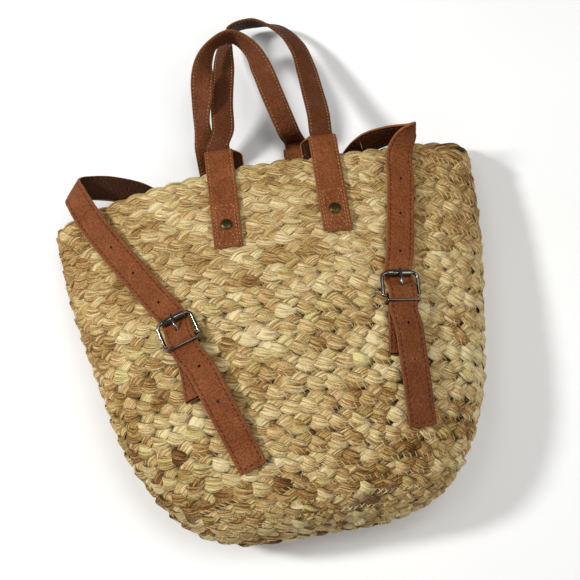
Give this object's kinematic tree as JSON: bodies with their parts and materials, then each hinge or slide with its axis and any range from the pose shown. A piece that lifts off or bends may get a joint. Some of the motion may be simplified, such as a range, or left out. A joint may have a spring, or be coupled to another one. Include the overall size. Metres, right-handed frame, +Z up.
{
  "type": "plaited bucket backpack",
  "caption": "Soft plaited straw bucket bag lying on its back, with leather carry handles over the rim and leather shoulder straps fastened by roller buckles.",
  "frame": {"origin": "on the floor, in the middle of the flat patch of the back wall that the bag rests on", "axes": "+X to the right seen from above, +Y from the base to the mouth, +Z up through the front wall"},
  "size_m": [0.432, 0.5395, 0.1159],
  "materials": {
    "plait": "sewn flat straw plaits",
    "leather": "reddish brown, fine pebble grain, stitched edges",
    "rivet_brass": "antique brass",
    "gunmetal": "dark gunmetal plating"
  },
  "bodies": {
    "root": {"basket": "plait", "handle_front": "leather", "handle_back": "leather", "handle_tab_front_left": "leather", "handle_tab_front_right": "leather", "handle_tab_back_left": "leather", "handle_tab_back_right": "leather", "handle_rivet_front_left": "rivet_brass", "handle_rivet_front_right": "rivet_brass", "handle_rivet_back_left": "rivet_brass", "handle_rivet_back_right": "rivet_brass", "shoulder_strap_left": "leather", "buckle_tab_left": "leather", "buckle_frame_left": "gunmetal", "buckle_roller_left": "gunmetal", "buckle_prong_left": "gunmetal", "keeper_left": "gunmetal", "shoulder_strap_right": "leather", "buckle_tab_right": "leather", "buckle_frame_right": "gunmetal", "buckle_roller_right": "gunmetal", "buckle_prong_right": "gunmetal", "keeper_right": "gunmetal"}
  },
  "joints": []
}
